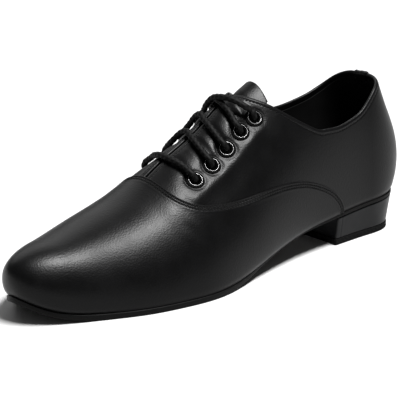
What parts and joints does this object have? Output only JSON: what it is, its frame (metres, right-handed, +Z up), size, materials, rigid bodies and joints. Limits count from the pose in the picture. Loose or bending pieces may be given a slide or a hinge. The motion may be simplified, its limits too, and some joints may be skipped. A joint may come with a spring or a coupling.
{
  "type": "ballroom dance shoe",
  "caption": "Black leather lace-up ballroom dance shoe for the left foot, with a slim rounded toe, a thin flexible sole and a low block heel.",
  "frame": {"origin": "centre of the shoe's footprint box, on the floor that the sole and the heel stand on", "axes": "+Z up, +Y towards the heel, +X towards the outer side of the left foot"},
  "size_m": [0.0958, 0.2922, 0.106],
  "materials": {
    "upper_leather": "smooth black calf with a soft sheen",
    "tongue_leather": "smooth black calf",
    "tab_leather": "smooth black calf",
    "sole_leather": "napped split leather with a blacked edge",
    "insole_leather": "matt lining leather",
    "heel_cover": "moulded block covered in black leather",
    "lift_rubber": "matt black rubber",
    "eyelet_metal": "blacked ring with a bright crest",
    "lace_cord": "round black braid"
  },
  "bodies": {
    "root": {"upper": "upper_leather", "tongue": "tongue_leather", "heel_tab": "tab_leather", "outsole": "sole_leather", "insole": "insole_leather", "heel_block": "heel_cover", "top_lift": "lift_rubber", "eyelet_outer_1": "eyelet_metal", "eyelet_outer_2": "eyelet_metal", "eyelet_outer_3": "eyelet_metal", "eyelet_outer_4": "eyelet_metal", "eyelet_outer_5": "eyelet_metal", "eyelet_inner_1": "eyelet_metal", "eyelet_inner_2": "eyelet_metal", "eyelet_inner_3": "eyelet_metal", "eyelet_inner_4": "eyelet_metal", "eyelet_inner_5": "eyelet_metal", "lace_bar_1": "lace_cord", "lace_cross_2": "lace_cord", "lace_cross_3": "lace_cord", "lace_cross_4": "lace_cord"}
  },
  "joints": []
}
